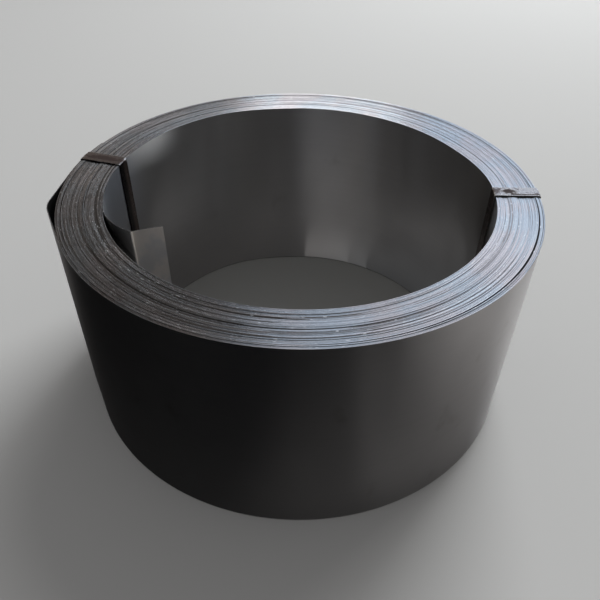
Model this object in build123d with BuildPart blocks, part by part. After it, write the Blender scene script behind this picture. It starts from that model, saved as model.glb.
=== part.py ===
"""A coil of thin steel strip that stands on its end, held by two packing straps.

Millimetres, +Z up. The origin is on the coil's axis, at the floor. The straps pass under the coil,
so it rests on them. Azimuths are in degrees, counterclockwise from +X when seen from above, and
the strip is wound so that its radius falls as the azimuth rises.
"""

import os
from itertools import accumulate
from math import asin, cos, degrees, radians, sin

from build123d import *

os.makedirs("parts", exist_ok=True)

# Strip and winding
strip_width = 176.0
strip_thickness = 0.5
turn_clearance = 0.05
bore_diameter = 300.0
# The turns lie in bands from the bore outwards: how many turns, and how many times this height the
# band has slid up
band_slip_height = 0.1
bands = ((8, 5), (9, 1), (14, 6), (13, 0), (11, 2), (3, 7), (4, 3))
# Between two bands the edges of the turns lean apart and leave a narrow gap
gap_width = 0.8
gap_depth = 2.5
# A layer that lies on the winding is let into it this far, so that both are one solid
weld_depth = 0.05

# Inner tail: the first turn has sprung off the bore wall, curls inwards and ends in a bent panel.
# Its root is so many degrees on from the left strap
tail_offset = 27.0
tail_curl_radius = 48.5
tail_curl_angle = 52.0
tail_crease_radius = 2.0
tail_crease_angle = 48.0
tail_panel_radius = 120.0
tail_panel_angle = 10.0

# Outer lap: the left strap holds down the end of the last turn, which ends so many degrees before
# it. So many degrees on from the strap the turn leaves the coil along its tangent, to come back
# along another one, with a blunt bend between
lap_reach = 8.5
bulge_offset = 8.9
bulge_span = 31.0
bulge_bend_radius = 30.0

# Packing straps, each a closed loop over the wall of the coil
strap_width = 12.7
strap_thickness = 0.5
strap_clearance = 0.3
# A strap's bend radius in clearances: at 3.4 it would touch the square rim of the coil
bend_clearances = 3.0
strap_overlap = 46.0
left_strap_azimuth = 167.45
left_strap_skew = -3.2
right_strap_azimuth = -2.94
right_strap_skew = 3.05

# Crimped clips that join the straps' ends on the outer wall
seal_length = 28.0
seal_wall = 0.8
seal_clearance = 0.2
seal_flange = 4.0
crimp_radius = 2.4
crimp_spacing = 12.0
# How much of the clip's wall a crimp takes
crimp_share = 0.6

# Radii and heights of the winding
turn_pitch = strip_thickness + turn_clearance
bore_radius = bore_diameter / 2
band_radii = list(accumulate((turns * turn_pitch for turns, slips in bands), initial=bore_radius))
outer_radius = band_radii[-1]
wall = outer_radius - bore_radius
mid_radius = bore_radius + wall / 2
coil_bottom = strap_thickness
band_bottoms = [coil_bottom + slips * band_slip_height for turns, slips in bands]
highest_top = max(band_bottoms) + strip_width
lap_face_radius = outer_radius + strip_thickness - weld_depth
lap_radius = lap_face_radius - strip_thickness / 2
lap_end_azimuth = left_strap_azimuth - lap_reach
bulge_azimuth = left_strap_azimuth + bulge_offset
tail_azimuth = left_strap_azimuth + tail_offset
seal_height = (coil_bottom + highest_top) / 2
crimp_depth = crimp_share * seal_wall


def on_circle(radius, azimuth):
    """The point at this radius and azimuth, in plan."""
    return (radius * cos(radians(azimuth)), radius * sin(radians(azimuth)))


def upright_plane(azimuth):
    """The plane through the axis at this azimuth: x is the radius, y is the height."""
    return Plane(origin=(0, 0, 0), x_dir=(*on_circle(1, azimuth), 0), z_dir=(*on_circle(1, azimuth - 90), 0))


def radial_plane(radius, azimuth, height):
    """The level plane at a point of the wall: x points outwards, y along the wall."""
    return Plane(origin=(*on_circle(radius, azimuth), height), x_dir=(*on_circle(1, azimuth), 0))


def run_azimuth(azimuth, skew, radius):
    """The azimuth at which a strap's centre line, laid askew, crosses this radius."""
    offset = -mid_radius * sin(radians(skew))
    return azimuth + skew + degrees(asin(offset / radius))


def make_strap(azimuth, skew, wall_radius):
    """A strap loop: a thin shell turned round the wall of the coil, cut to a straight lane.

    The loop's section hugs the ends and the bore. On the outer wall it stands off, because the
    clip's flanges lie behind it, and there its two ends lie on each other.
    """
    inner_face = bore_radius - strap_clearance
    outer_face = wall_radius + strap_clearance
    top_face = highest_top + strap_clearance
    clip_face = outer_face + seal_clearance + seal_wall
    half_arc = degrees(strap_width / bore_radius)

    with BuildSketch() as steel_side:
        with BuildLine():
            Polyline(
                (inner_face, coil_bottom),
                (inner_face, top_face),
                (outer_face, top_face),
                (clip_face, seal_height + strap_overlap / 2),
                (clip_face, seal_height - strap_overlap / 2),
                (outer_face, coil_bottom),
                close=True,
            )
        make_face()
        ends = steel_side.vertices().group_by(Axis.Y)
        fillet(ends[0] + ends[-1], bend_clearances * strap_clearance)

    lane_x_dir = (*on_circle(1, azimuth + skew), 0)
    lane_plane = Plane(origin=(*on_circle(mid_radius, azimuth), 0), x_dir=lane_x_dir)
    with BuildPart() as strap:
        with BuildSketch(upright_plane(azimuth - half_arc)):
            add(steel_side.sketch)
            offset(amount=strap_thickness)
            with Locations((clip_face + strap_thickness, seal_height)):
                Rectangle(strap_thickness, strap_overlap, align=(Align.MIN, Align.CENTER))
            add(steel_side.sketch, mode=Mode.SUBTRACT)
        revolve(axis=Axis.Z, revolution_arc=2 * half_arc)
        with BuildSketch(lane_plane):
            Rectangle(2 * wall, strap_width)
        extrude(amount=top_face + wall, mode=Mode.INTERSECT)
    return strap.part


def make_seal(azimuth, skew, wall_radius):
    """A crimped clip: a flat tube open at its back, round both layers of the strap."""
    strap_face = wall_radius + strap_clearance + seal_clearance + seal_wall
    clip_azimuth = run_azimuth(azimuth, skew, strap_face)
    clip_plane = radial_plane(strap_face, clip_azimuth, seal_height - seal_length / 2)
    sag = strap_face - (strap_face**2 - (strap_width / 2) ** 2) ** 0.5
    cavity_back = -sag - seal_clearance
    cavity_front = 2 * strap_thickness + seal_clearance
    cavity_width = strap_width + 2 * seal_clearance
    clip_width = cavity_width + 2 * seal_wall
    clip_back = cavity_back - seal_wall
    clip_depth = cavity_front + seal_wall - clip_back
    face_origin = (*on_circle(strap_face + cavity_front + seal_wall, clip_azimuth), seal_height)
    face_plane = Plane(
        origin=face_origin,
        x_dir=(*on_circle(1, clip_azimuth + 90), 0),
        z_dir=(*on_circle(1, clip_azimuth), 0),
    )

    with BuildPart() as seal:
        with BuildSketch(clip_plane):
            with Locations((clip_back, 0)):
                RectangleRounded(clip_depth, clip_width, seal_wall, align=(Align.MIN, Align.CENTER))
            with Locations((cavity_back, 0)):
                Rectangle(
                    cavity_front - cavity_back,
                    cavity_width,
                    align=(Align.MIN, Align.CENTER),
                    mode=Mode.SUBTRACT,
                )
            with Locations((cavity_back, 0)):
                Rectangle(
                    2 * seal_wall,
                    cavity_width - 2 * seal_flange,
                    align=(Align.MAX, Align.CENTER),
                    mode=Mode.SUBTRACT,
                )
        extrude(amount=seal_length)
        with BuildSketch(face_plane):
            with GridLocations(clip_width + 2 * (crimp_radius - crimp_depth), crimp_spacing, 2, 2):
                Circle(crimp_radius)
        extrude(amount=-clip_depth, mode=Mode.SUBTRACT)
    return seal.part


# The coil: the winding is turned round the axis, and the two loose ends of the strip are drawn up
with BuildPart() as strip_coil:
    with BuildSketch(Plane.XZ) as winding_section:
        for radius, next_radius, bottom in zip(band_radii, band_radii[1:], band_bottoms):
            with Locations((radius, bottom)):
                Rectangle(next_radius - radius, strip_width, align=(Align.MIN, Align.MIN))
        for radius, bottom, next_bottom in zip(band_radii[1:], band_bottoms, band_bottoms[1:]):
            near = radius - gap_width / 2
            far = radius + gap_width / 2
            lower = min(bottom, next_bottom)
            upper = max(bottom, next_bottom)
            top = upper + strip_width
            with BuildLine():
                Polyline((near, top), (radius, lower + strip_width - gap_depth), (far, top), close=True)
            make_face(mode=Mode.SUBTRACT)
            with BuildLine():
                Polyline((near, lower), (radius, upper + gap_depth), (far, lower), close=True)
            make_face(mode=Mode.SUBTRACT)
    revolve(axis=Axis.Z)

    with BuildSketch(Plane.XY.offset(band_bottoms[0])):
        with BuildLine():
            tail_root = on_circle(bore_radius + strip_thickness, tail_azimuth)
            curl = JernArc(tail_root, on_circle(1, tail_azimuth + 90), tail_curl_radius, tail_curl_angle)
            crease = JernArc(curl @ 1, curl % 1, tail_crease_radius, tail_crease_angle)
            JernArc(crease @ 1, crease % 1, tail_panel_radius, -tail_panel_angle)
        trace(line_width=strip_thickness)
    extrude(amount=strip_width)

    with BuildSketch(Plane.XY.offset(band_bottoms[-1])):
        with BuildLine():
            lying_arc = CenterArc((0, 0), lap_radius, lap_end_azimuth, bulge_azimuth - lap_end_azimuth)
            FilletPolyline(
                lying_arc @ 1,
                on_circle(lap_radius / cos(radians(bulge_span / 2)), bulge_azimuth + bulge_span / 2),
                on_circle(outer_radius - strip_thickness, bulge_azimuth + bulge_span),
                radius=bulge_bend_radius,
            )
        trace(line_width=strip_thickness)
    extrude(amount=strip_width)

# The straps: the left one also holds down the end of the outer lap
strap_left = make_strap(left_strap_azimuth, left_strap_skew, lap_face_radius)
strap_right = make_strap(right_strap_azimuth, right_strap_skew, outer_radius)
seal_left = make_seal(left_strap_azimuth, left_strap_skew, lap_face_radius)
seal_right = make_seal(right_strap_azimuth, right_strap_skew, outer_radius)

pieces = {
    "strip_coil": strip_coil.part,
    "strap_left": strap_left,
    "strap_right": strap_right,
    "seal_left": seal_left,
    "seal_right": seal_right,
}
for name, piece in pieces.items():
    piece.label = name
    export_step(piece, f"parts/{name}.step")
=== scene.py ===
# %% [markdown]
# # A strapped coil of thin steel strip
#
# A coil of strip is one long ribbon of steel, wound on itself like a clock spring. This lesson
# builds it as that ribbon, so that the fine lines on its ends are the real edges of its turns, and
# then lays two steel packing straps round its wall. Every shape is worked out with numpy as whole
# arrays of points. Lengths are metres and angles degrees. The axis of the coil is the Z axis, and
# an azimuth is an angle round it, counterclockwise from +X as seen from above.

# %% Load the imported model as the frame
from math import asin, cos, degrees, pi, radians, sin

import bpy
import numpy as np
from mathutils import Matrix, Vector


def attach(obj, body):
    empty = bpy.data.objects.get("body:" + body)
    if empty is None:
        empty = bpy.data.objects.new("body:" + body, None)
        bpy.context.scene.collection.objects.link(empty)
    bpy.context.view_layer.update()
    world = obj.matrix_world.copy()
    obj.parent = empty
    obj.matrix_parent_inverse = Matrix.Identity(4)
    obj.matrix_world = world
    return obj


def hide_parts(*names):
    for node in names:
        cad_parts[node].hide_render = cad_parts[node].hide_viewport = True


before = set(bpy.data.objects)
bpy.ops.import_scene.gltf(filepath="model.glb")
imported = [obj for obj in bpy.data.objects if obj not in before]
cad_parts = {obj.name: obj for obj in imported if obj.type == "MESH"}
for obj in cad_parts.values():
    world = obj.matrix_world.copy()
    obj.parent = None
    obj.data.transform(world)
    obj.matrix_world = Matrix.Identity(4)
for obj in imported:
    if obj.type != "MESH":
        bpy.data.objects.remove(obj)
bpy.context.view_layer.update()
print("Nodes of the packed model:", *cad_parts)

# %% [markdown]
# ## The camera
#
# The coil is seen from above its front, close by, so the lens is a wide one. The camera is placed
# by its two viewing angles and a slight roll, each a turn about one axis.

# %% Set up the camera
camera_place = Vector((0.0, -0.42545, 0.41543))
camera_pitch = 40.02
camera_yaw = 0.16
camera_roll = 0.95
camera_lens = 36.73
camera_sensor = 36.0
nearest_seen = 0.01

camera_data = bpy.data.cameras.new("front_camera")
camera_data.lens = camera_lens
camera_data.sensor_width = camera_sensor
camera_data.clip_start = nearest_seen
camera = bpy.data.objects.new("front_camera", camera_data)
bpy.context.collection.objects.link(camera)
turn_down = Matrix.Rotation(radians(90 - camera_pitch), 4, "X")
turn_aside = Matrix.Rotation(radians(-camera_yaw), 4, "Z")
tilt_frame = Matrix.Rotation(radians(camera_roll), 4, "Z")
camera.matrix_world = Matrix.Translation(camera_place) @ turn_aside @ turn_down @ tilt_frame
bpy.context.scene.camera = camera
print("Camera looks down by", camera_pitch, "degrees")

# %% [markdown]
# ## The sizes of the strip
#
# The winding has 62 turns on a bore of 300 mm. The innermost turn has sprung loose into the bore,
# which is the tail. The outermost one, the lap, bulges away from the coil before its end. All the
# turns between them are drawn with the same number of stations, so that the stations of one turn
# lie beside those of the next.

# %% Sizes of the strip and its winding
mm = 0.001
cm3 = (10 * mm) ** 3
strip_width = 176 * mm
strip_thickness = 0.5 * mm
half_thickness = strip_thickness / 2
bore_radius = 150 * mm
turn_count = 62
winding_slack = 2.55 * mm
wall = 34.1 * mm
mid_radius = bore_radius + wall / 2
outer_radius = bore_radius + wall
coil_bottom = 0.5 * mm
print("Length of the strip:", round(turn_count * 2 * pi * mid_radius, 1), "m")

# %% Places of the tail and the lap, and the stations round a turn
tail_azimuth = 194.45
bulge_start_azimuth = 207.35
bulge_end_azimuth = 176.35
lap_end_azimuth = 158.95
lowest_azimuth = -205
stations_per_turn = 180
station_shares = np.arange(stations_per_turn) / stations_per_turn
station_azimuths = (tail_azimuth - 360 * station_shares - lowest_azimuth) % 360 + lowest_azimuth
print("Stations are", 360 / stations_per_turn, "degrees apart")

# %% [markdown]
# ## Loose and tight places in the winding
#
# A coil that has been handled isn't even. Its turns press together in bands, and between the bands
# a narrow gap opens, follows the turns for part of the way round and closes again. One could dent
# a plain ring with a picture, but here the gaps are real: each is a short list of places, and the
# slack of the winding is shared out so that most of it goes where the gaps are.

# %% Gaps: the turn that each lies outside of, then its relative width at some azimuths
gap_tracks = (
    (6, ((-125, 0), (-105, 9), (-75, 10), (-50, 0))),
    (10, ((-170, 0), (-155, 8), (-110, 8), (-90, 0))),
    (14, ((-135, 0), (-120, 10), (-85, 13), (-40, 9), (-20, 0))),
    (21, ((-130, 0), (-110, 9), (-60, 9), (-25, 0))),
    (23, ((-5, 0), (5, 5), (25, 5), (50, 0))),
    (29, ((-200, 0), (-180, 9), (-160, 5), (-90, 6), (-30, 4), (0, 0))),
    (33, ((40, 0), (70, 7), (110, 6), (140, 0))),
    (40, ((-205, 0), (-185, 9), (-150, 10), (-100, 12), (-50, 8), (-15, 0))),
    (42, ((-10, 0), (5, 6), (30, 6), (60, 5), (90, 0))),
    (51, ((-25, 0), (-10, 7), (20, 7), (45, 4), (60, 9), (100, 8), (130, 0))),
    (53, ((-205, 0), (-185, 10), (-150, 9), (-100, 9), (-60, 6), (-20, 0))),
    (55, ((-112, 0), (-90, 20), (-70, 42), (-35, 52), (-15, 24), (5, 10), (30, 0))),
    (59, ((-70, 0), (-45, 13), (-20, 14), (15, 12), (45, 0))),
)
usual_gap = 0.4
gap_spread = 1.0
gap_changes = 2.3
random_turns = np.random.default_rng(7)
chance_count = round((turn_count + 2) * gap_changes)
chance_gaps = usual_gap * np.exp(random_turns.normal(0, gap_spread, chance_count))


def along_strip(turn, values, per_turn):
    """A list of values laid evenly along the strip, so many a turn, and read off in between."""
    return np.interp(turn * per_turn, np.arange(len(values)), values)


# %% [markdown]
# The bore isn't quite round either. Over a third of it, at the back, the winding has slackened and
# stands a few millimetres further in, while the outside has kept its circle. It goes in along an
# S-curve, three times the share's square less twice its cube, so it starts and ends without a bend.

# %% The slackened back of the bore
slack_azimuths = (2, 30, 95, 124)
slack_depth = 3.7 * mm
slack_share = np.interp(station_azimuths, slack_azimuths, (0, 1, 1, 0))
bore_inwards = slack_depth * slack_share**2 * (3 - 2 * slack_share)


def turn_gaps():
    """The gap outside each turn: a row for each turn, and a column for each station round it.

    A gap is a chance value that changes slowly along the strip. Each track opens one gap more,
    which follows its turn. A column is then scaled, so that its gaps sum to the slack of the
    winding, and what the bore goes inwards is shared evenly among them.
    """
    turns = np.arange(turn_count)[:, None] + station_shares
    gaps = along_strip(turns, chance_gaps, gap_changes)
    for turn, openings in gap_tracks:
        azimuths, widths = np.array(openings).T
        opening = np.interp(station_azimuths, azimuths, widths, left=0, right=0)
        track_turns = turn + (tail_azimuth - station_azimuths) / 360
        gaps = gaps + opening * (np.rint(turns - track_turns) == 0)
    return gaps * (winding_slack / gaps.sum(axis=0)) + bore_inwards / turn_count


def turn_radii(gaps):
    """The inner face of the strip at every station, from the bore outwards.

    The first turn climbs by its own thickness and gap while it goes round once. Each later turn
    adds, at every azimuth, the thicknesses and the gaps of the turns inside it.
    """
    climb = (strip_thickness + gaps[0, 0]) * station_shares
    gaps_inside = np.concatenate([np.zeros((1, stations_per_turn)), np.cumsum(gaps, axis=0)])
    strips_inside = strip_thickness * np.arange(turn_count + 1)[:, None]
    return bore_radius - bore_inwards + climb + strips_inside + gaps_inside


winding_gaps = turn_gaps()
strip_radii = turn_radii(winding_gaps).ravel()
print("Widest gap in mm:", round(winding_gaps.max() / mm, 2))
print("Last turn starts at radius in mm:", round(strip_radii[-stations_per_turn] / mm, 2))

# %% [markdown]
# ## How far each turn has slid up
#
# When a coil is stood on its end and knocked, whole bands of turns slide along the axis together.
# The steps between the bands, and a little unevenness of every turn, make the lines on the end.

# %% Lifts of the bands, of small groups of turns, and of waves along each turn, in millimetres
band_ends = (0, 8, 17, 31, 44, 55, 58, 63)
band_lifts = (0.45, 0.2, 0.5, 0.15, 0.3, 0.6, 0.35)
band_ramp = 0.12
group_spread = 0.07
group_ramp = 0.06
wave_spread = 0.05
waves_per_turn = 3
highest_lift = 0.72
group_sizes = random_turns.integers(1, 4, turn_count)
group_levels = random_turns.normal(0, group_spread, turn_count)
group_lifts = np.repeat(group_levels, group_sizes)[: turn_count + 2]
wave_lifts = random_turns.normal(0, wave_spread, (turn_count + 3) * waves_per_turn)


def stepped(turn, ends, values, ramp):
    """Values that hold between their ends, with a short even ramp across each end."""
    places = np.stack([np.array(ends[:-1]) + ramp, np.array(ends[1:]) - ramp], axis=1).ravel()
    return np.interp(turn, places, np.repeat(values, 2))


def strip_lift(turn):
    """Height of the strip's lower edge: its band's lift, plus its small group's, plus waves."""
    band = stepped(turn, band_ends, band_lifts, band_ramp)
    group = stepped(turn, np.arange(turn_count + 3), group_lifts, group_ramp)
    waves = along_strip(turn, wave_lifts, waves_per_turn)
    return coil_bottom + np.clip(band + group + waves, 0, highest_lift) * mm


print("Lower edge of the first turn in mm:", round(float(strip_lift(0.0)) / mm, 2))

# %% [markdown]
# ## The line that the strip follows
#
# In plan the whole strip is one line. It starts at the cut end of the loose inner tail, runs over a
# crease and a curl onto the bore wall, goes round 62 times, bulges away from the coil in one blunt
# bend, and ends where the left strap holds it down. One could draw it by hand as a curve, but bent
# sheet has arcs of even radius. So straight runs and arcs are laid end to end, each from the place
# and heading where the last one stopped.

# %% Runs and arcs laid end to end
def lay_runs(place, heading, runs):
    """Points along straight runs and arcs laid end to end, from a place and a heading.

    A run is (length, turn in degrees, steps). The heading grows evenly along a run, so its points
    are the place plus the running sum of short steps, each along the heading at its middle.
    """
    points = [np.array([place])]
    for length, turn, steps in runs:
        middles = (np.arange(steps) + 0.5) / steps
        headings = np.radians(heading + turn * middles)
        moves = np.stack([np.cos(headings), np.sin(headings)], axis=1) * (length / steps)
        points.append(points[-1][-1] + np.cumsum(moves, axis=0))
        heading = heading + turn
    return np.concatenate(points)


def on_circle(radius, azimuth):
    """The points at this radius and azimuth, in plan."""
    angle = np.radians(azimuth)
    return np.stack([radius * np.cos(angle), radius * np.sin(angle)], axis=-1)


def azimuths_of(line):
    """The azimuth of each point of a line in plan: the arc tangent of y over x."""
    return np.degrees(np.arctan2(line[:, 1], line[:, 0]))


# %% A route with rounded corners
def arc_run(radius, turn, steps):
    """An arc as a run: its length is the radius times the angle."""
    return (radius * radians(abs(turn)), turn, steps)


def rounded_route(corners, steps_per_metre, arc_steps):
    """A route through corners given as (x, y, radius): straight runs and an arc at each corner.

    Each arc touches both runs, so it starts its radius times the tangent of half the turn before
    the corner. The runs between the arcs are divided evenly.
    """
    places = np.array([corner[:2] for corner in corners])
    radii = np.array([corner[2] for corner in corners])
    legs = np.diff(places, axis=0)
    lengths = np.hypot(*legs.T)
    headings = azimuths_of(legs)
    turns = (np.diff(headings) + 180) % 360 - 180
    cuts = np.concatenate([[0], radii[1:-1] * np.tan(np.radians(np.abs(turns)) / 2), [0]])
    runs = []
    for leg, length in enumerate(lengths):
        straight = length - cuts[leg] - cuts[leg + 1]
        runs.append((straight, 0, max(1, round(straight * steps_per_metre))))
        if leg < len(turns):
            runs.append(arc_run(radii[leg + 1], turns[leg], arc_steps))
    return lay_runs(places[0], headings[0], runs)


# %% The tail: a curl off the bore wall, a sharp crease and a bent panel
curl_steps = 26
crease_steps = 8
panel_steps = 12
tail_curl = arc_run(48.5 * mm, 52.0, curl_steps)
tail_crease = arc_run(2.2 * mm, 48.0, crease_steps)
tail_panel = arc_run(120 * mm, -10.0, panel_steps)
tail_root = on_circle(bore_radius + half_thickness, tail_azimuth)
tail_line = lay_runs(tail_root, tail_azimuth + 90, (tail_curl, tail_crease, tail_panel))
tail_stations = len(tail_line) - 1
print("The tail ends at", tail_line[-1])

# %% The winding: a spiral that reads its radius from the turns
winding_end = turn_count - (bulge_start_azimuth - tail_azimuth) / 360
winding_steps = round(winding_end * stations_per_turn)
winding_turns = np.arange(winding_steps + 1) / stations_per_turn
winding_azimuths = tail_azimuth - 360 * winding_turns
winding_line = on_circle(strip_radii[: winding_steps + 1] + half_thickness, winding_azimuths)
print("The winding has", winding_steps, "steps and ends at", winding_line[-1])

# %% The lap: it bulges out in one blunt bend, and then lies on the winding
press_gap = 0.02 * mm
lying_stations = 10
bulge_bend = 30 * mm
bulge_bend_steps = 14
bulge_steps_per_metre = 400
last_turn = strip_radii[turn_count * stations_per_turn :]
lying_radius = last_turn.max() + half_thickness + press_gap
lying_azimuths = np.linspace(bulge_end_azimuth, lap_end_azimuth, lying_stations)
lying_line = on_circle(lying_radius, lying_azimuths)
bulge_half = (winding_azimuths[-1] % 360 - bulge_end_azimuth) / 2
bulge_corner = on_circle(lying_radius / cos(radians(bulge_half)), bulge_end_azimuth + bulge_half)
bulge_corners = ((*winding_line[-1], 0), (*bulge_corner, bulge_bend), (*lying_line[0], 0))
bulge_line = rounded_route(bulge_corners, bulge_steps_per_metre, bulge_bend_steps)
lap_line = np.concatenate([bulge_line, lying_line[1:]])
print("The lap stands off to radius in mm:", round(np.hypot(*lap_line.T).max() / mm, 1))

# %% The three joined, and how many turns each point is from the tail's root
lap_turns = (winding_azimuths[-1] - azimuths_of(lap_line)) % 360 / 360
strip_line = np.concatenate([tail_line[:0:-1], winding_line, lap_line[1:]])
strip_turns = np.concatenate(
    [np.zeros(tail_stations), winding_turns, winding_turns[-1] + lap_turns[1:]]
)
strip_azimuths = azimuths_of(strip_line)
print("Stations along the strip:", len(strip_line), "and turns:", round(strip_turns[-1], 2))

# %% [markdown]
# ## From a line to a ribbon of steel
#
# Strip is slit from a wide sheet, so its long edges aren't sharp, and they catch the light one by
# one. A profile of its section is carried along the line: two flat faces and, at each long edge, a
# flat top with a small bevel on both sides. Eight points are enough for that, and so 62 turns stay
# under 200,000 triangles. Both cut ends are closed.

# %% Carry a closed profile along a line
def sideways(line):
    """The unit vector to the left of a line in plan: its direction turned by a right angle."""
    ahead = np.gradient(line, axis=0)
    ahead = ahead / np.linalg.norm(ahead, axis=1, keepdims=True)
    return np.stack([-ahead[:, 1], ahead[:, 0]], axis=1)


def closed_sweep(name, points):
    """A closed mesh from points[station, profile point]: rings joined by quads, and two end caps.

    Quad (i, j) joins ring i to ring i + 1 and profile point j to j + 1, and the last profile point
    joins the first.
    """
    stations, ring = points.shape[:2]
    near = np.arange(stations - 1)[:, None] * ring
    far = near + ring
    j = np.arange(ring)[None, :]
    following = (j + 1) % ring
    quads = np.stack([near + j, far + j, far + following, near + following], axis=-1)
    first_cap = np.arange(ring)
    last_cap = (stations - 1) * ring + np.arange(ring)[::-1]
    corners = np.concatenate([quads.ravel(), first_cap, last_cap])
    starts = np.concatenate([np.arange(0, quads.size, 4), [quads.size, quads.size + ring]])
    mesh = bpy.data.meshes.new(name)
    mesh.vertices.add(stations * ring)
    mesh.vertices.foreach_set("co", points.reshape(-1).astype(np.float32))
    mesh.loops.add(len(corners))
    mesh.loops.foreach_set("vertex_index", corners.astype(np.int32))
    mesh.polygons.add(len(starts))
    mesh.polygons.foreach_set("loop_start", starts.astype(np.int32))
    mesh.update(calc_edges=True)
    mesh.polygons.foreach_set("use_smooth", np.ones(len(starts), dtype=bool))
    piece = bpy.data.objects.new(name, mesh)
    bpy.context.collection.objects.link(piece)
    return piece


def turn_outwards(piece):
    """Reverses every face if the mesh is inside out: then the volume under its faces is negative.

    The volume is a sixth of the sum, over the triangles, of corner a dotted with b cross c.
    """
    mesh = piece.data
    mesh.calc_loop_triangles()
    corners = np.empty(len(mesh.loop_triangles) * 3, dtype=np.int32)
    mesh.loop_triangles.foreach_get("vertices", corners)
    places = np.empty(len(mesh.vertices) * 3)
    mesh.vertices.foreach_get("co", places)
    a, b, c = places.reshape(-1, 3)[corners].reshape(-1, 3, 3).transpose(1, 0, 2)
    volume = np.einsum("ij,ij->i", a, np.cross(b, c)).sum() / 6
    if volume < 0:
        mesh.flip_normals()
    print(piece.name, "has", len(mesh.loop_triangles), "triangles")
    print("    and encloses", round(abs(volume) / cm3, 2), "cm3")


def make_piece(name, points, sharp_angle):
    """A closed sweep with its faces outwards, shaded round except over bends past an angle."""
    piece = closed_sweep(name, points)
    turn_outwards(piece)
    piece.data.set_sharp_from_angle(angle=radians(sharp_angle))
    return piece


# %% The strip's section: offset from the line, lower or upper edge, and shift along the axis
edge_run = 0.08 * mm
edge_drop = 0.03 * mm
section = (
    (-half_thickness, 0, edge_drop),
    (-half_thickness, 1, -edge_drop),
    (-half_thickness + edge_run, 1, 0),
    (half_thickness - edge_run, 1, 0),
    (half_thickness, 1, -edge_drop),
    (half_thickness, 0, edge_drop),
    (half_thickness - edge_run, 0, 0),
    (-half_thickness + edge_run, 0, 0),
)
section_offset, section_side, section_shift = np.array(section).T
print("Points of the section:", len(section))

# %% [markdown]
# The cut isn't square to the sheet everywhere. Each edge leans one way or the other by a slope that
# changes along the strip, and it leans most where the end of the coil is also the most soiled. The
# slopes come from a t distribution with few degrees of freedom, because most edges lean a little
# and a few lean much more.

# %% How soiled the end is at each azimuth, and how the edges lean
soiled_azimuths = (-180, -150, -100, -60, -20, 30, 80, 130, 160, 180)
soiled_levels = (1, 1, 0.9, 0.45, 0.25, 0.25, 0.5, 0.8, 1, 1)
strip_soiled = np.interp(strip_azimuths, soiled_azimuths, soiled_levels)
leans_per_turn = 3
lean_spread = 0.05
steepest_lean = 0.16
clean_share = 0.2
outlier_freedom = 4
chance_leans = random_turns.standard_t(outlier_freedom, (turn_count + 3) * leans_per_turn)
leans = np.clip(lean_spread * chance_leans, -steepest_lean, steepest_lean)
lean_share = clean_share + (1 - clean_share) * strip_soiled
strip_lean = along_strip(strip_turns, leans, leans_per_turn) * lean_share
print("Steepest lean of an edge:", round(np.abs(strip_lean).max(), 3))

# %% Make the wound strip
bevel_angle = 15
strip_sides = sideways(strip_line)
strip_points = np.empty((len(strip_line), len(section), 3))
strip_points[..., :2] = strip_line[:, None] + strip_sides[:, None] * section_offset[:, None]
strip_points[..., 2] = strip_lift(strip_turns)[:, None] + section_side * strip_width + section_shift
strip_points[..., 2] += strip_lean[:, None] * section_offset
wound_strip = make_piece("wound_strip", strip_points, bevel_angle)

# %% [markdown]
# ## What the finishes need to know
#
# Each turn gets its own tone. The length along the strip is stored at every point of the mesh, and
# the finish of the slit edges reads it: a noise of one dimension on it runs on along a turn, and is
# a different one on the turn beside it, which lies a metre away along the strip.

# %% Store the length along the strip, and how soiled it is
def store(piece, name, values):
    """Stores a number at every point of a piece's mesh."""
    kept = piece.data.attributes.new(name, "FLOAT", "POINT")
    kept.data.foreach_set("value", np.ascontiguousarray(values, dtype=np.float32).ravel())


def store_along(name, values):
    """Stores a number for every station of the strip at all the points of its section."""
    store(wound_strip, name, np.repeat(values, len(section)))


steps = np.hypot(*np.diff(strip_line, axis=0).T)
strip_length = np.concatenate([[0], np.cumsum(steps)])
store_along("length", strip_length)
store_along("soiled", strip_soiled)
print("The strip is", round(strip_length[-1], 2), "m long")

# %% [markdown]
# Three more numbers are stored. Bright nicks, painted brighter as glints, crowd in one place near
# the bore, which is a bell curve over radius and azimuth. Dirt gathers in the grooves between the
# turns, and they are painted darker as shade too, so a point on a face of the strip gets 1 and one
# on the top of its edge gets 0. The tail's panel is scuffed and painted with warm reflections, and
# its crease the most, as a painted highlight, in a bell curve along it.

# %% Store where the nicks painted as glints, the grooves painted with shade and the scuffs are
glint_radius = 156.5 * mm
glint_depth = 3 * mm
glint_azimuth = -142
glint_reach = 24
from_glint = ((np.hypot(*strip_line.T) - glint_radius) / glint_depth) ** 2
from_glint += ((strip_azimuths - glint_azimuth) / glint_reach) ** 2
store_along("glints", np.exp(-from_glint))
# The grooves between the turns are darkened with dirt and painted shade.
store(wound_strip, "groove_dirt_and_shade", np.tile(np.abs(section_offset) == half_thickness, len(strip_line)))

# The panel's scuff also paints warm reflections, and the crease a painted highlight.
panel_scuff_and_sheen = 0.55
crease_highlight = 1.4
crease_highlight_reach = 2.5
crease_middle = panel_steps + crease_steps / 2
stations = np.arange(len(strip_line))
on_panel = stations < crease_middle
from_crease = (stations - (crease_middle - 1)) / crease_highlight_reach
store_along("scuff_and_highlight", panel_scuff_and_sheen * on_panel + crease_highlight * np.exp(-(from_crease**2)))
print("Stations on the scuffed panel:", np.count_nonzero(on_panel))
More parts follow.
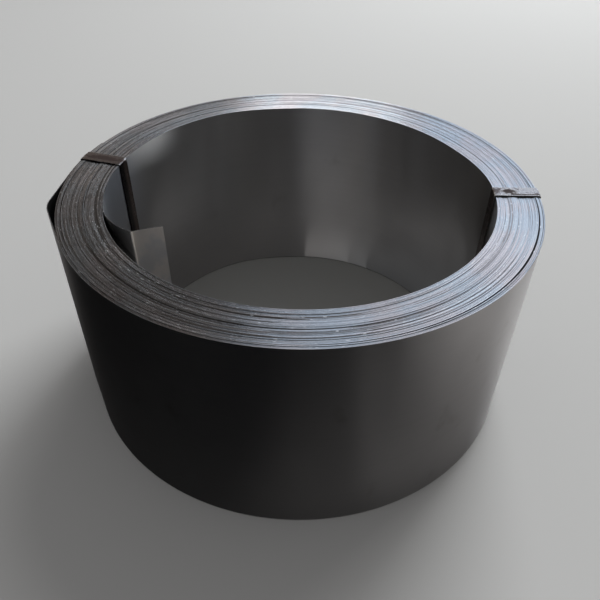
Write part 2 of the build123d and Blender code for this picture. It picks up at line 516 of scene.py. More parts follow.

# %% [markdown]
# A face of the strip is bright where it shows, in the bore, on the outside and on the tail. Where
# turns press on each other it gets no light, so it is painted dull and dark, as shade, and the tops
# of the edges have a finish of their own. The tail and the first turn show their bore side, the
# tail and the last turn their outside.

# %% Choose a finish for every face of the strip
rolled, slit, pressed = 0, 1, 2
bore_side, outer_side = 0, 4
first_shown = 1.02
last_shown = turn_count - 1.2
face_turns = strip_turns[:-1]
on_tail = stations[:-1] < tail_stations - 1
face_finish = np.full((len(face_turns), len(section)), slit, dtype=np.int32)
face_finish[:, bore_side] = np.where(face_turns < first_shown, rolled, pressed)
face_finish[:, outer_side] = np.where((face_turns > last_shown) | on_tail, rolled, pressed)
print("Faces of rolled steel that show:", np.count_nonzero(face_finish == rolled))

# %% [markdown]
# ## Packing straps
#
# A packing strap is a narrow steel band, drawn tight round the wall of the coil and joined by a
# crimped clip. It is an open strip as well: it starts under the clip, goes over the end, down the
# bore, under the coil and up the outer wall, and ends on top of its own beginning. A closed ring
# would be simpler, but the clip would have nothing to join. So it is again a profile carried along
# a route, this time a route in an upright plane.

# %% Sizes of the straps and their clips
lap_face_radius = outer_radius + 0.45 * mm
highest_top = 177.2 * mm
strap_width = 12.7 * mm
strap_thickness = 0.5 * mm
strap_clearance = 0.3 * mm
strap_bend = 0.9 * mm
strap_overlap = 46 * mm
joggle_length = 5 * mm
clip_height = (coil_bottom + highest_top) / 2
clip_wall = 0.8 * mm
clip_clearance = 0.2 * mm


def lane_of(azimuth, skew):
    """A strap's lane, a straight band across the wall, as its direction and its offset.

    It crosses the middle of the wall at an azimuth and is skewed there. So its line passes the
    axis at the middle radius times the sine of the skew.
    """
    return azimuth + skew, -mid_radius * sin(radians(skew))


left_lane = lane_of(167.45, -3.2)
right_lane = lane_of(-2.94, 3.05)
print("Lanes of the straps run at", left_lane[0], "and", round(right_lane[0], 2), "degrees")

# %% The route of a strap
clip_run_bend = 60 * mm
joggle_bend = 20 * mm
strap_steps_per_metre = 500
strap_bend_steps = 8


def strap_route(wall_radius):
    """The middle of the strap's thickness, as radius and height, from its first end to its last.

    Each straight run lies off the coil by its clearance and half the strap's thickness, except the
    lowest, which the coil stands on. Under the clip it lies off by the clip's wall and clearance as
    well, and the last end by the first end's thickness too.
    """
    half = strap_thickness / 2
    inner = bore_radius - strap_clearance - half
    top = highest_top + strap_clearance + half
    bottom = coil_bottom - half
    outer = wall_radius + strap_clearance + half
    clip = outer + clip_clearance + clip_wall
    bend = strap_bend + half
    low = clip_height - strap_overlap / 2
    high = clip_height + strap_overlap / 2
    corners = (
        (clip, low, 0),
        (clip, high, clip_run_bend),
        (outer, top, bend),
        (inner, top, bend),
        (inner, bottom, bend),
        (outer, bottom, bend),
        (clip, low - joggle_length, joggle_bend),
        (clip + strap_thickness, low, joggle_bend),
        (clip + strap_thickness, high, 0),
    )
    return rounded_route(corners, strap_steps_per_metre, strap_bend_steps)


# %% The section of a strap
face_points = 13
rim_share = 0.3


def strap_section():
    """A flat bar's outline as (across, through): its long faces divided, its edges bevelled.

    The points on a face are the sine of an even spacing, so they crowd towards its edges.
    """
    half_width = strap_width / 2
    half = strap_thickness / 2
    rim = strap_thickness * rim_share
    face = (half_width - rim) * np.sin(np.linspace(-pi / 2, pi / 2, face_points))
    across = np.concatenate([face, [half_width] * 2, face[::-1], [-half_width] * 2])
    flat = np.full(face_points, half)
    side = [half - rim, rim - half]
    through = np.concatenate([flat, side, -flat, side[::-1]])
    return across, through


# %% [markdown]
# The lacquer of a strap isn't alike all over. It is rubbed at the bend into the bore and along both
# edges, it has matt dirty places on the top and a narrow dark line along one edge of a bared top,
# and on the left strap half of the run down the bore lies in the shade of the tail. On the right
# strap the top is worn bare. These are numbers stored at the points, as on the strip.

# %% Store where a strap is rubbed, dull or shaded
bend_reach = 4 * mm
rim_sharpness = 24
spot_width = 4.5 * mm
# A narrow dark line along the front edge of a bared top.
dark_line_inset = 2.0 * mm
dark_line_width = 0.9 * mm
dark_line_start = 162 * mm
shade_edge = 0.8 * mm


def store_strap_wear(strap, radius, height, across, on_top, dull_spot, bared, shaded):
    """Stores three numbers at the points of a strap, from their radius, height and place across.

    Rubbed is 1 less the distance from the bend into the bore, plus a high power of the distance
    from the middle, plus the bared top. Dull is a bell curve round a spot, given by its radius, its
    length and its place across, plus a narrow one along an edge of the bared top. Shaded is an
    S-curve across the run down the bore.
    """
    from_bend = np.hypot(radius - (bore_radius - strap_clearance), height - highest_top)
    rim = np.abs(across) / (strap_width / 2)
    bare = bared * on_top * np.clip((radius - bore_radius) / bend_reach, 0, 1)
    store(strap, "rubbed", np.clip(1.0 - from_bend / bend_reach, 0, 1) + rim**rim_sharpness + bare)

    spot_radius, spot_length, spot_across = dull_spot
    along = (radius - spot_radius) / spot_length
    aside = (across - spot_across) / spot_width
    spot = np.exp(-(along**2) - aside**2)
    from_line = (across + strap_width / 2 - dark_line_inset) / dark_line_width
    line = np.exp(-(from_line**2)) * (radius > dark_line_start)
    store(strap, "dull", (spot + bared * line) * (height > highest_top))

    in_bore = (radius < bore_radius) * (height < highest_top)
    store(strap, "shaded", shaded * in_bore * (1 + np.tanh(across / shade_edge)) / 2)


# %% Carry the strap's profile along its route
fold_angle = 50
ripple_count = 40
ripple_height = 0.06 * mm


def turned(out, across, height, azimuth):
    """Points given as outwards, across and up, in a frame turned about the axis to an azimuth.

    x is out times the cosine less across times the sine, and y is out times the sine plus across
    times the cosine.
    """
    angle = radians(azimuth)
    x = out * cos(angle) - across * sin(angle)
    y = out * sin(angle) + across * cos(angle)
    return np.stack([x, y, np.broadcast_to(height, x.shape)], axis=-1)


def make_strap(name, lane, wall_radius, seed, **wear):
    """A strap in its lane: its section carried along its route, and its top slightly rippled.

    A point at radius r on the route and at the distance w across the lane lies where the circle of
    radius r crosses the line that runs along the lane at that distance. Its way along the lane is
    the square root of r squared less w squared.
    """
    lane_azimuth, lane_offset = lane
    route = strap_route(wall_radius)
    across, through = strap_section()
    normals = sideways(route)
    radius = route[:, :1] + normals[:, :1] * through
    height = route[:, 1:] + normals[:, 1:] * through

    chance = np.random.default_rng(seed).normal(0, ripple_height, ripple_count)
    places = np.linspace(0, ripple_count - 1, len(route))
    ripple = np.interp(places, np.arange(ripple_count), chance)
    on_top = np.clip((height - highest_top) / strap_clearance, 0, 1)
    height = height - on_top * np.abs(ripple)[:, None]

    side = lane_offset + across
    out = np.sqrt(radius**2 - side**2)
    points = turned(out, side, np.maximum(height, 0.0), lane_azimuth)
    strap = make_piece(name, points, fold_angle)
    store_strap_wear(strap, radius, height, across[None, :], on_top, **wear)
    return strap


left_strap = make_strap(
    "left_packing_strap",
    left_lane,
    lap_face_radius,
    seed=3,
    dull_spot=(166 * mm, 22 * mm, 0),
    bared=0.0,
    shaded=1.0,
)
right_strap = make_strap(
    "right_packing_strap",
    right_lane,
    outer_radius,
    seed=4,
    dull_spot=(161 * mm, 7.5 * mm, 0.3 * mm),
    bared=1.0,
    shaded=0.0,
)

# %% [markdown]
# ## Crimped clips
#
# The clip is a piece of sheet folded round both layers of the strap, with its two flanges behind
# them. A tool with jaws has pinched it in two places, which pushes its sides in and dents its face.
# A cut with another shape would leave sharp notches there, but pinched sheet keeps its thickness,
# so the section itself is moved where the jaws were.

# %% The section of a clip
clip_length = 28 * mm
clip_flange = 4.0 * mm
fold_radius = 0.75 * mm
fold_steps = 6
clip_steps_per_metre = 1500


def clip_outline(strap_face):
    """The clip's section as (out, across): a C-shaped line of sheet given its thickness.

    The coil is round, so behind the strap's edges it falls back by its sag: the radius less the
    square root of the radius squared less half the width squared. The flanges lie behind that.
    """
    sag = strap_face - (strap_face**2 - (strap_width / 2) ** 2) ** 0.5
    back = -sag - clip_clearance - clip_wall / 2
    front = 2 * strap_thickness + clip_clearance + clip_wall / 2
    half = strap_width / 2 + clip_clearance + clip_wall / 2
    tip = strap_width / 2 + clip_clearance - clip_flange
    corners = (
        (back, -tip, 0),
        (back, -half, fold_radius),
        (front, -half, fold_radius),
        (front, half, fold_radius),
        (back, half, fold_radius),
        (back, tip, 0),
    )
    line = rounded_route(corners, clip_steps_per_metre, fold_steps)
    normals = sideways(line)
    inner = line + normals * clip_wall / 2
    outer = line - normals * clip_wall / 2
    return np.concatenate([outer, inner[::-1]])


# %% Make the clips
clip_rings = 57
crimp_spacing = 12 * mm
crimp_reach = 1.5 * mm
crimp_depth = 0.48 * mm
crimp_dent = 0.3 * mm
furthest_share = 1.2


def make_clip(name, lane, wall_radius):
    """The clip's section carried up its length, with two pinches.

    A pinch is a bell curve over the height. It moves the sides in by its depth times a power of
    the distance from the middle, and it dents the front face beside the sides.
    """
    lane_azimuth, lane_offset = lane
    strap_face = wall_radius + strap_clearance + clip_clearance + clip_wall
    clip_azimuth = lane_azimuth + degrees(asin(lane_offset / strap_face))
    out, across = clip_outline(strap_face).T
    rise = np.linspace(-clip_length / 2, clip_length / 2, clip_rings)[:, None]
    bell = np.exp(-(((np.abs(rise) - crimp_spacing / 2) / crimp_reach) ** 2))
    half = strap_width / 2 + clip_clearance
    share = np.clip(np.abs(across) / half, 0, furthest_share)
    pinched = across * (1 - bell * share**4 * crimp_depth / half)
    dented = strap_face + out - bell * share**6 * crimp_dent * (out > 0)
    points = turned(dented, pinched, clip_height + rise, clip_azimuth)
    clip = make_piece(name, points, fold_angle)
    store(clip, "rubbed", bell * share**3)
    store(clip, "dull", np.zeros(dented.shape))
    store(clip, "shaded", np.zeros(dented.shape))
    return clip


left_clip = make_clip("left_crimped_clip", left_lane, lap_face_radius)
right_clip = make_clip("right_crimped_clip", right_lane, outer_radius)

# %% [markdown]
# ## Finishes as expressions
#
# A finish is a graph of nodes. To write it as maths, one small class wraps a socket, and each
# operator on it adds the Math node that it stands for. A second class holds one material and adds
# every other kind of node.

# %% A socket that can be reckoned with
class Term:
    """A socket inside an expression. An operator adds its Math node and gives its output."""

    def __init__(self, finish, socket):
        self.finish = finish
        self.socket = socket

    def maths(self, operation, first, second):
        """The Math node of this operation on two values."""
        return self.finish.add("ShaderNodeMath", {"operation": operation}, {0: first, 1: second})

    def __add__(self, other):
        return self.maths("ADD", self, other)

    def __radd__(self, other):
        return self.maths("ADD", other, self)

    def __sub__(self, other):
        return self.maths("SUBTRACT", self, other)

    def __rsub__(self, other):
        return self.maths("SUBTRACT", other, self)

    def __mul__(self, other):
        return self.maths("MULTIPLY", self, other)

    def __rmul__(self, other):
        return self.maths("MULTIPLY", other, self)

    def __rpow__(self, other):
        return self.maths("POWER", other, self)

    def at_most(self, limit):
        """The lesser of this value and a limit."""
        return self.maths("MINIMUM", self, limit)


# %% A material whose nodes are added by one method
class Finish:
    """A material with one Principled shader."""

    def __init__(self, name, **constants):
        self.material = bpy.data.materials.new(name)
        self.material.use_nodes = True
        self.tree = self.material.node_tree
        self.shader = self.tree.nodes["Principled BSDF"]
        self.feed(**constants)

    def put(self, socket, value):
        """Links a term to the socket, or writes a number or colour on it."""
        if isinstance(value, Term):
            self.tree.links.new(value.socket, socket)
        else:
            socket.default_value = value

    def feed(self, **values):
        """Puts values on the shader's sockets, which are named with _ for each space."""
        for socket, value in values.items():
            self.put(self.shader.inputs[socket.replace("_", " ")], value)

    def add(self, kind, settings, inputs, output=0):
        """Adds a node, makes its settings, then feeds its sockets, and gives one output."""
        node = self.tree.nodes.new(kind)
        for setting, value in settings.items():
            setattr(node, setting, value)
        for socket, value in inputs.items():
            self.put(node.inputs[socket], value)
        return Term(self, node.outputs[output])

    def place(self, scale, move=(0, 0, 0)):
        """Object coordinates, stretched along each axis."""
        here = self.add("ShaderNodeTexCoord", {}, {}, "Object")
        inputs = {"Vector": here, "Scale": scale, "Location": move}
        return self.add("ShaderNodeMapping", {}, inputs)

    def along(self, axis):
        """The object coordinate along one axis."""
        here = self.add("ShaderNodeTexCoord", {}, {}, "Object")
        return self.add("ShaderNodeSeparateXYZ", {}, {"Vector": here}, axis)

    def stored(self, name):
        """A number that was stored at the points of the mesh."""
        return self.add("ShaderNodeAttribute", {"attribute_name": name}, {}, "Fac")

    def noise(self, scale, detail=2.0, rough=0.5, move=(0, 0, 0)):
        """Noise from 0 to 1 on stretched object coordinates."""
        place = self.place(scale, move)
        inputs = {"Vector": place, "Scale": 1.0, "Detail": detail, "Roughness": rough}
        return self.add("ShaderNodeTexNoise", {"noise_dimensions": "3D"}, inputs, "Fac")

    def lengthwise(self, per_metre, detail=1.0, shift=0.0):
        """Noise from 0 to 1 that changes only along the strip, so many times a metre."""
        inputs = {"W": self.stored("length") * per_metre + shift, "Scale": 1.0, "Detail": detail}
        return self.add("ShaderNodeTexNoise", {"noise_dimensions": "1D"}, inputs, "Fac")

    def ease(self, value, low, high, start=0.0, end=1.0):
        """A smooth step: start below low, end above high, and an S-curve between."""
        inputs = {0: value, 1: low, 2: high, 3: start, 4: end}
        return self.add("ShaderNodeMapRange", {"interpolation_type": "SMOOTHSTEP"}, inputs)

    def blend(self, share, first, second):
        """Two colours mixed by a share."""
        return self.add("ShaderNodeMix", {"data_type": "RGBA"}, {0: share, 6: first, 7: second}, 2)

    def dimmed(self, colour, level):
        """A colour times a level."""
        inputs = {0: colour, "Scale": level}
        return self.add("ShaderNodeVectorMath", {"operation": "SCALE"}, inputs)

    def bump(self, height, distance, strength):
        """A bump on the shader's normal, from a height between 0 and 1."""
        inputs = {"Height": height, "Distance": distance, "Strength": strength}
        self.feed(Normal=self.add("ShaderNodeBump", {}, inputs))


# %% [markdown]
# ## Rolled steel
#
# Rolls leave marks along the strip, finer than the eye can part, and they spread a reflection
# across themselves. The strip runs level, so everything that it mirrors is drawn out upright. That
# is what Anisotropic does, and it is one number on the shader. Over it lie faint streaks, a soft
# waviness of the thin sheet, and a few stains.

# %% The colour of the strip's faces
steel = Finish("rolled_steel", Anisotropic=0.95, Anisotropic_Rotation=0.25)
streaks = steel.noise((5, 5, 420), 2.0, 0.6)
clouds = steel.noise((14, 14, 9))
smudges = steel.noise((45, 45, 30), 3.0, move=(3, 1, 2))
haze = steel.ease(clouds, 0.35, 0.7)
stain = steel.ease(smudges, 0.6, 0.8) * steel.ease(clouds, 0.45, 0.6)
clear_steel = (0.57, 0.565, 0.558, 1)
hazy_steel = (0.48, 0.475, 0.468, 1)
stain_brown = (0.27, 0.25, 0.23, 1)
steel_colour = steel.blend(haze * 0.6 + streaks * 0.4, clear_steel, hazy_steel)
stained_colour = steel.blend(stain * 0.35, steel_colour, stain_brown)
print("Nodes of rolled steel so far:", len(steel.tree.nodes))

# %% [markdown]
# The scuffs on the tail are patches of a paler, duller and warmer shine, which also paint warm
# reflections on it, and they run together in the crease into a painted highlight. There the steel
# is less of a mirror, so Metallic goes down as well. The waviness and the bands are two noises,
# drawn out upright, that only tilt the reflection.

# %% Scuffs with painted reflections and highlight, gloss and waviness of the strip's faces
scuff_and_highlight = steel.stored("scuff_and_highlight")
patches = steel.ease(steel.noise((80, 80, 60), 2.0, move=(7, 3, 5)), 0.38, 0.62, 0.2, 1.0)
crease_highlight_share = steel.ease(scuff_and_highlight, 0.9, 1.6)
# Warm painted reflections on the panel, and a paler painted highlight in the crease.
warm_scuff_sheen = (0.8, 0.72, 0.64, 1)
crease_highlight_colour = (0.98, 0.9, 0.8, 1)
scuff_and_highlight_colour = steel.blend(crease_highlight_share, warm_scuff_sheen, crease_highlight_colour)
steel.feed(
    Base_Color=steel.blend(scuff_and_highlight * patches + crease_highlight_share, stained_colour, scuff_and_highlight_colour),
    Metallic=1.0 - scuff_and_highlight * 0.55,
    Roughness=0.278 + haze * 0.025 + scuff_and_highlight * 0.15,
)
waviness = steel.noise((16, 16, 2.0), 0.0)
bands = steel.noise((55, 55, 1.2), 0.0, move=(2, 7, 0))
steel.bump(waviness + bands * 0.25, 0.001, 0.4)
print("Nodes of rolled steel:", len(steel.tree.nodes))

# %% [markdown]
# Between two turns the same steel is oily and gets no light. It shows only in the gaps, where it
# must look black, so it has a near-black finish of its own, which is painted shade.

# %% The finish of the faces that press on each other, painted dark as shade
# Painted shade: a near-black colour for the steel between the turns.
shaded_pressed_steel = Finish("shaded_pressed_face", Base_Color=(0.05, 0.047, 0.045, 1), Metallic=0.9)
shaded_pressed_steel.feed(Roughness=0.45 + shaded_pressed_steel.noise((20, 20, 60)) * 0.2)
print("Nodes of pressed steel:", len(shaded_pressed_steel.tree.nodes))

# %% [markdown]
# ## Slit edges
#
# The edges of the turns are cut, not rolled. They are duller and uneven: some turns are bright,
# some dark with dirt and a little rust in the crevices, which are also painted darker as shade, and
# here and there one has a bright nick, painted brighter as a glint.
# A picture of lines would smear where they come close, so the tones follow the strip itself.

# %% Dirt, painted shade in the grooves, and nicks painted as glints on the edges
edge = Finish("slit_edge", Metallic=1.0)
dirt_and_shade_in_groove = edge.stored("groove_dirt_and_shade")
glints = edge.stored("glints")
soiled = edge.stored("soiled")
grime = edge.noise((30, 30, 3), 3.0, 0.6)
grain = edge.lengthwise(160.0, 2.0, 11.0)
turn_tone = edge.lengthwise(9.0, 2.0, 31.0)
dark_runs = edge.ease(edge.lengthwise(4.0) + soiled * 0.05, 0.64, 0.68)
# Bright nicks, partly real and partly painted glints.
nick_and_glint = edge.ease(edge.lengthwise(150.0, 1.0, 23.0) + glints * 0.1, 0.74, 0.82)
uneven = grime * 0.4 + grain * 0.55 + turn_tone * 0.7
# Dirt, and painted shade in the grooves between the turns.
dirt_and_groove_shade = edge.ease(dark_runs * 0.65 + dirt_and_shade_in_groove * 0.6 + soiled * uneven, 0.6, 1.3)
print("Nodes of the slit edges so far:", len(edge.tree.nodes))

# %% The colour and gloss of the edges
hue = edge.lengthwise(6.0, 1.0, 40.0) * 0.35 + edge.noise((26, 26, 5), move=(5, 2, 1)) * 0.65
bluish_edge = (0.55, 0.585, 0.61, 1)
warm_edge = (0.62, 0.58, 0.572, 1)
dirty_and_shaded_edge = (0.1, 0.088, 0.08, 1)
nick_and_glint_colour = (0.76, 0.76, 0.75, 1)
clean_edge = edge.blend(edge.ease(hue, 0.42, 0.58), bluish_edge, warm_edge)
edge.feed(
    Base_Color=edge.blend(nick_and_glint, edge.blend(dirt_and_groove_shade, clean_edge, dirty_and_shaded_edge), nick_and_glint_colour),
    Roughness=0.18 + dirt_and_groove_shade * 0.22 + nick_and_glint * glints * 0.2,
)
edge.bump(grain, 0.0001, 0.3)
print("Nodes of the slit edges:", len(edge.tree.nodes))

# %% [markdown]
# ## Lacquered strapping
#
# The straps are blued or lacquered dark brown. The lacquer is thin and a little glossy, and it has
# worn through to bare steel at the bends and along the edges. Two materials could be mixed, but one
# shader is enough: a worn mask chooses its colour, and a matt one its metal and roughness too.

# %% The finish of the straps and clips
bare_steel = (0.45, 0.43, 0.42, 1)
matt_dirt = (0.032, 0.021, 0.018, 1)
deep_shade = (0.004, 0.004, 0.005, 1)
worn_step = 0.14
paler = 1.5


def lacquer(name, colour, worn_level):
    """Dark lacquer over steel. It is worn where noise plus the rubbed number passes a level.

    It is matt where noise plus the dull number passes 1, and darker by the shaded number.
    """
    finish = Finish(name, Specular_IOR_Level=0.15)
    patches = finish.noise((90, 90, 90), 4.0, 0.65)
    scratches = finish.noise((500, 500, 25), 3.0, 0.6, move=(1, 2, 3))
    ragged = finish.noise((420, 420, 420), 4.0, 0.7, move=(4, 9, 2))
    wear = patches * 0.5 + scratches * 0.4 + finish.stored("rubbed") * 0.5
    worn = finish.ease(wear, worn_level, worn_level + worn_step)
    matt = finish.ease(finish.stored("dull") + ragged * 1.2, 1.0, 1.35)
    pale_colour = tuple(level * paler for level in colour[:3]) + (1,)
    bared = finish.blend(worn, finish.blend(patches, colour, pale_colour), bare_steel)
    matted = finish.blend(matt, bared, matt_dirt)
    finish.feed(
        Base_Color=finish.blend(finish.stored("shaded") * 0.9, matted, deep_shade),
        Metallic=0.85 - matt * 0.75,
        Roughness=0.22 + patches * 0.1 + matt * 0.3,
    )
    finish.bump(patches + scratches * 0.4, 0.0001, 0.7)
    return finish


strap_lacquer = lacquer("dark_strap_lacquer", (0.085, 0.065, 0.058, 1), 0.82)
clip_lacquer = lacquer("dark_clip_lacquer", (0.1, 0.085, 0.08, 1), 0.78)
print("Nodes of a lacquer:", len(strap_lacquer.tree.nodes))

# %% Put the finishes on and say what each piece stands for
for finish in (steel, edge, shaded_pressed_steel):
    wound_strip.data.materials.append(finish.material)
all_faces = np.append(face_finish.ravel(), (slit, slit)).astype(np.int32)
wound_strip.data.polygons.foreach_set("material_index", all_faces)
for strap in (left_strap, right_strap):
    strap.data.materials.append(strap_lacquer.material)
for clip in (left_clip, right_clip):
    clip.data.materials.append(clip_lacquer.material)

for piece, node, slot in (
    (wound_strip, "strip_coil", "strip"),
    (left_strap, "strap_left", "strap"),
    (right_strap, "strap_right", "strap"),
    (left_clip, "seal_left", "seal"),
    (right_clip, "seal_right", "seal"),
):
    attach(piece, "root")
    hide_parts(node)
    print(piece.name, "stands for", node)

# %% [markdown]
# ## The stage
#
# A pale floor and soft light. Metal shows what stands round it, so cards that the camera can't see
# shape its reflections, as a photographer would place them. A picture wrapped round the scene would
# do that too, but it would also light the floor.

# %% Cards
def flat_card(name, corners, finish):
    """A flat stage piece through corners."""
    mesh = bpy.data.meshes.new(name)
    mesh.from_pydata(corners, [], [tuple(range(len(corners)))])
    card = bpy.data.objects.new(name, mesh)
    bpy.context.collection.objects.link(card)
    mesh.materials.append(finish.material)
    return card


def level_card(name, reach, height, finish):
    """A square card that lies level and reaches as far to each side of the axis."""
    plan = ((-reach, -reach), (reach, -reach), (reach, reach), (-reach, reach))
    return flat_card(name, [(x, y, height) for x, y in plan], finish)


def upright_card(name, first, last, bottom, top, finish):
    """A card that stands upright between two places in plan, and is hidden but in reflections."""
    places = ((*first, bottom), (*last, bottom), (*last, top), (*first, top))
    only_mirrored(flat_card(name, places, finish))


def only_mirrored(card):
    """Hides a card from the camera and from everything but reflections."""
    card.visible_camera = False
    card.visible_diffuse = False
    card.visible_shadow = False
    card.visible_transmission = False


def glowing(name, strength=1.0):
    """A finish that only gives off light."""
    dark = {"Base_Color": (0, 0, 0, 1), "Roughness": 1.0, "Specular_IOR_Level": 0.0}
    return Finish(name, Emission_Strength=strength, **dark)


# %% The floor
floor_reach = 20
floor_grey = (0.45, 0.445, 0.435, 1)
# Inside the bore the floor is painted darker, as painted shade.
shaded_bore_grey = (0.365, 0.362, 0.345, 1)
# Far off the floor is painted lighter, as painted light, where the lamps light it less.
far_lit_grey = (0.66, 0.655, 0.645, 1)
floor = Finish("pale_floor", Roughness=1.0, Specular_IOR_Level=0.0)
floor_x, floor_y = floor.along("X"), floor.along("Y")
axis_squared = floor_x * floor_x + floor_y * floor_y
in_bore = floor.ease(axis_squared, 0.023, 0.033, 1.0, 0.0)
far_off = floor.ease(axis_squared, 0.5, 12.0)
floor.feed(Base_Color=floor.blend(far_off, floor.blend(in_bore, floor_grey, shaded_bore_grey), far_lit_grey))
level_card("floor", floor_reach, 0, floor)
print("Floor to", floor_reach, "m")

# %% [markdown]
# The floor that the wall mirrors is a card just above the real one, and its levels are painted as
# light. It is near black beyond a slanting line on the left, and its light doubles with every 76 mm
# to the right. Small corrections lie on that, each an S-curve between two places: dips close to the
# coil, further off and on the right, and lights in front, on the left, behind and at the coil's
# foot.

# %% The floor as the steel mirrors it, outside the coil
mirror = glowing("mirrored_floor")
mirror_x, mirror_y = mirror.along("X"), mirror.along("Y")
right_slant = 0.4
line_slant = 0.71
lowest_light = 0.039
doublings_per_metre = 13.2
black_light = 0.002
brightest_light = 0.38

towards_right = mirror_x + right_slant * mirror_y
beyond_line = mirror_y + line_slant * mirror_x
from_axis = mirror_x * mirror_x + mirror_y * mirror_y
rising = lowest_light * 2.0 ** (towards_right * doublings_per_metre)
rising += mirror.ease(towards_right, 0.0, 0.06, 0.036, 0.0) * mirror.ease(mirror_x, -0.08, 0.02)
near_dip = mirror.ease(from_axis, 0.037, 0.05, 0.42, 0.0)
near_dip *= mirror.ease(towards_right, 0.1, 0.16, 1.0, 0.0)
far_dip = mirror.ease(from_axis, 0.036, 0.08, 0.0, 0.36)
far_dip += mirror.ease(from_axis, 0.09, 0.2, 0.0, 0.25)
far_dip *= mirror.ease(towards_right, 0.09, 0.19, 1.0, 0.0)
right_dip = mirror.ease(towards_right, 0.12, 0.17, 0.0, 0.2)
right_dip *= mirror.ease(towards_right, 0.2, 0.27, 1.0, 0.0)
front_light = mirror.ease(towards_right, -0.035, 0.005, 0.0, 0.022)
front_light *= mirror.ease(towards_right, 0.04, 0.1, 1.0, 0.0)
front_light *= mirror.ease(from_axis, 0.037, 0.05)
left_light = mirror.ease(mirror_x, -0.36, -0.16, 0.15, 0.0)
left_light *= mirror.ease(beyond_line, -0.25, -0.05)
back_light = mirror.ease(mirror_y, 0.15, 0.6, 0.0, 0.35)
foot_light = mirror.ease(from_axis, 0.034, 0.09, 0.05, 0.0) * mirror.ease(mirror_x, 0.05, 0.15)
dipped = rising * (1.0 - far_dip - near_dip - right_dip)
sum_of_light = dipped + front_light + left_light + back_light + foot_light
lit_side = mirror.ease(beyond_line, -0.42, -0.24)
outside_light = (sum_of_light * lit_side + black_light).at_most(brightest_light)
print("Nodes of the mirrored floor so far:", len(mirror.tree.nodes))

# %% [markdown]
# In the bore the mirrored floor is dim too. Light that falls in past the coil's rim lies on it in
# two fans. Each is painted between two straight lines from the back of the bore that cross behind
# the axis, and one line belongs to both fans. The wall behind draws each fan out into an upright
# band. A lamp could do that too, but it would light the coil as well.

# %% The floor as the steel mirrors it, in the bore
shared_line = (0.0055, 0.1499, -93.7)
fan_edge = 0.0001
fan_fade = 0.00002


def beside_line(from_x, from_y, heading):
    """The distance of a place on the floor from a line through a point, to one side of it.

    It is the way from the point, dotted with the line's direction turned by a right angle.
    """
    angle = radians(heading)
    return (mirror_x - from_x) * -sin(angle) + (mirror_y - from_y) * cos(angle)


def fan(first, last, level):
    """A light fan between two lines that cross: there the product of both distances is negative."""
    product = beside_line(*first) * beside_line(*last)
    return mirror.ease(product, -fan_edge, fan_fade, level, 0.0)


wide_fan = fan(shared_line, (0.0788, 0.1276, -145.3), 0.085)
bright_fan = fan(shared_line, (0.0583, 0.1382, -129.9), 0.075)
fan_light = (wide_fan + bright_fan) * mirror.ease(from_axis, 0.0175, 0.0225, 1.0, 0.62)
right_light = mirror.ease(mirror_x, -0.02, 0.05, 0.0, 0.055) * mirror.ease(mirror_y, 0.02, 0.07)
right_light *= mirror.ease(from_axis, 0.013, 0.02, 1.0, 0.45)
bore_light = 0.056 + fan_light + right_light
print("Nodes of the mirrored floor so far:", len(mirror.tree.nodes))

# %% Both joined at the wall of the coil, and tinted
card_reach = 4
card_height = 0.001
warm_light = (1.0, 0.962, 0.955, 1)
cool_light = (0.95, 0.97, 1.0, 1)
inside_bore = mirror.ease(from_axis, 0.0225, 0.0235, 1.0, 0.0)
mirror_level = outside_light + (bore_light - outside_light) * inside_bore
mirror_tint = mirror.blend(mirror.ease(mirror_x, 0.0, 0.09) * inside_bore, warm_light, cool_light)
mirror.feed(Emission_Color=mirror.dimmed(mirror_tint, mirror_level))
only_mirrored(level_card("mirrored_floor", card_reach, card_height, mirror))
print("Nodes of the mirrored floor:", len(mirror.tree.nodes))

# %% [markdown]
# The top of the coil mirrors what stands behind it. A tall back card is bright from its middle to
# its right end, with a narrow dim seam and its brightest part low down, and grey below on the left,
# so that the lines of the end shine at the back and go dark at the front.

# %% The back card
stage_side = 2.5
stage_height = 5
back = glowing("back_card")
back_x, back_z = back.along("X"), back.along("Z")
bright_part = back.ease(back_x, 0.4, 0.7, 1.0, 0.0) * back.ease(back_z, 1.2, 1.6, 1.0, 0.0)
from_seam = (back_x - 0.55) * (back_x - 0.55)
seam = back.ease(from_seam, 0.0, 0.006, 1.0, 0.0) * back.ease(back_z, 1.4, 1.6, 1.0, 0.0)
panel_level = 1.05 + bright_part + back.ease(back_z, 1.3, 1.55, 0.5, 0.0) - seam * 0.6
panel_tint = back.blend(bright_part, (0.75, 0.84, 1.0, 1), (0.93, 0.95, 1.0, 1))
low_tint = back.blend(
    back.ease(back_x, -1.02, -0.88), (0.61, 0.57, 0.53, 1), (0.55, 0.56, 0.585, 1)
)
low_share = back.ease(back_z, 1.3, 1.75, 1.0, 0.0) * back.ease(back_x, -1.8, -1.2)
low_share += back.ease(back_x, -2.3, -1.8, 0.45, 0.0)
dark_brown = (0.03, 0.024, 0.02, 1)
on_panel = back.ease(back_x, -0.4, -0.12) * back.ease(back_z, 2.55, 3.1, 1.0, 0.25)
beside_panel = back.blend(low_share, dark_brown, low_tint)
back_colour = back.blend(on_panel, beside_panel, back.dimmed(panel_tint, panel_level))
back.feed(Emission_Color=back_colour)
back_left = (-card_reach, stage_side)
back_right = (card_reach, stage_side)
upright_card("back_card", back_left, back_right, 0, stage_height, back)
print("Nodes of the back card:", len(back.tree.nodes))

# %% [markdown]
# Dim cards in front and on both sides keep the wall dark there. A low glowing strip on the right,
# brightest a little further back than the coil, gives the wall the pale upright band along its
# right edge.

# %% The dim cards
flag_grey = (0.2, 0.2, 0.205, 1)


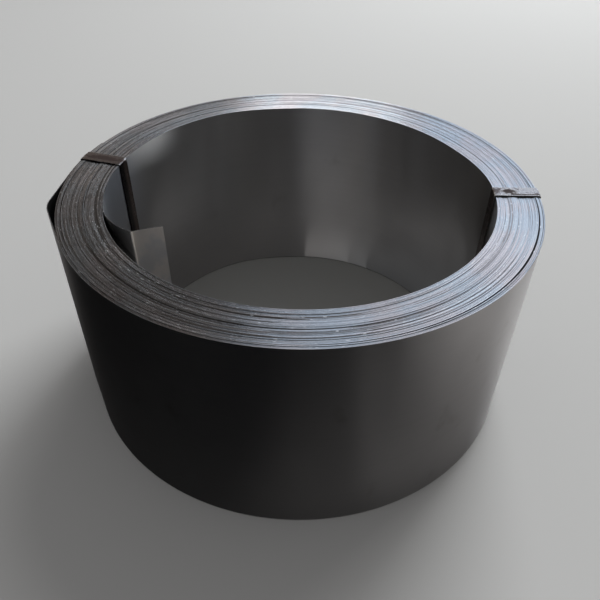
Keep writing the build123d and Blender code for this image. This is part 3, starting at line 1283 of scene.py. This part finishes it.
def flag(name, dim_colour, first, last):
    """A dim card, a little lighter high up and much lighter towards the right."""
    finish = glowing(name)
    share = finish.ease(finish.along("Z"), 0.5, 0.9, 0.0, 0.22)
    share += finish.ease(finish.along("X"), 0.8, 1.9, 0.0, 0.78)
    finish.feed(Emission_Color=finish.blend(share, dim_colour, flag_grey))
    upright_card(name, first, last, 0, stage_height, finish)


front_left = (-card_reach, -stage_side)
front_right = (stage_side, -stage_side)
side_end = (stage_side, 0.8)
flag("front_flag", (0.013, 0.013, 0.022, 1), front_left, front_right)
flag("left_flag", (0.012, 0.012, 0.017, 1), front_left, back_left)
flag("side_flag", (0.013, 0.013, 0.022, 1), front_right, side_end)

# %% The glowing strip, just inside the right side
glow_strength = 14.0
glow_front = (2.45, -0.3)
glow_back = (2.45, 1.7)
glow_bottom = 0.2
glow_top = 0.44
glow = glowing("low_strip", glow_strength)
glow_y = glow.along("Y")
glow_level = glow.ease(glow_y, -0.3, 0.1, 0.0, 0.45) + glow.ease(glow_y, 0.1, 0.35, 0.0, 0.55)
glow_level -= glow.ease(glow_y, 0.5, 1.1, 0.0, 0.3)
glow.feed(Emission_Color=glow.blend(glow_level, (0, 0, 0, 1), cool_light))
upright_card("low_strip", glow_front, glow_back, glow_bottom, glow_top, glow)

# %% [markdown]
# ## Light
#
# A soft square lamp behind the coil on the right makes the main light and the shadow, and an even
# light from the same side fills it. Neither is mirrored, because the cards do that. The world is a
# plain pale grey, a little lighter where it is seen or mirrored than where it lights.

# %% Lamps
key_place = Vector((0.9, 1.7, 1.7))
key_target = Vector((0, 0, 0.1))
key_size = 1.2
key_power = 42
key_colour = (0.93, 0.97, 1.0)
even_place = Vector((0.9, 1.7, 1.9))
even_power = 1.5
even_angle = 35


def new_lamp(name, kind, power, direction):
    """A lamp that shines in a direction and is neither seen nor mirrored."""
    lamp = bpy.data.objects.new(name, bpy.data.lights.new(name, kind))
    bpy.context.collection.objects.link(lamp)
    lamp.data.energy = power
    lamp.rotation_mode = "QUATERNION"
    lamp.rotation_quaternion = direction.to_track_quat("-Z", "Y")
    lamp.visible_camera = False
    lamp.visible_glossy = False
    return lamp


key = new_lamp("key", "AREA", key_power, key_target - key_place)
key.location = key_place
key.data.size = key_size
key.data.color = key_colour
even_light = new_lamp("even_light", "SUN", even_power, -even_place)
even_light.data.angle = radians(even_angle)
print("Lamps:", key.name, even_light.name)


# %% World
class Surroundings(Finish):
    """The world, written with the same terms as a finish."""

    def __init__(self, name):
        self.world = bpy.data.worlds.new(name)
        self.world.use_nodes = True
        self.tree = self.world.node_tree
        self.shader = self.tree.nodes["Background"]

    def ray(self, kind):
        """1 for a ray of this kind, otherwise 0."""
        return self.add("ShaderNodeLightPath", {}, {}, kind)


lighting_grey = (0.38, 0.38, 0.385, 1)
seen_grey = (0.48, 0.476, 0.468, 1)
studio = Surroundings("studio")
seen = studio.ray("Is Camera Ray") + studio.ray("Is Glossy Ray") + studio.ray("Is Transmission Ray")
studio.feed(Color=studio.blend(seen, lighting_grey, seen_grey))
bpy.context.scene.world = studio.world
bpy.context.scene.view_settings.view_transform = "Standard"
print("View:", bpy.context.scene.view_settings.view_transform)
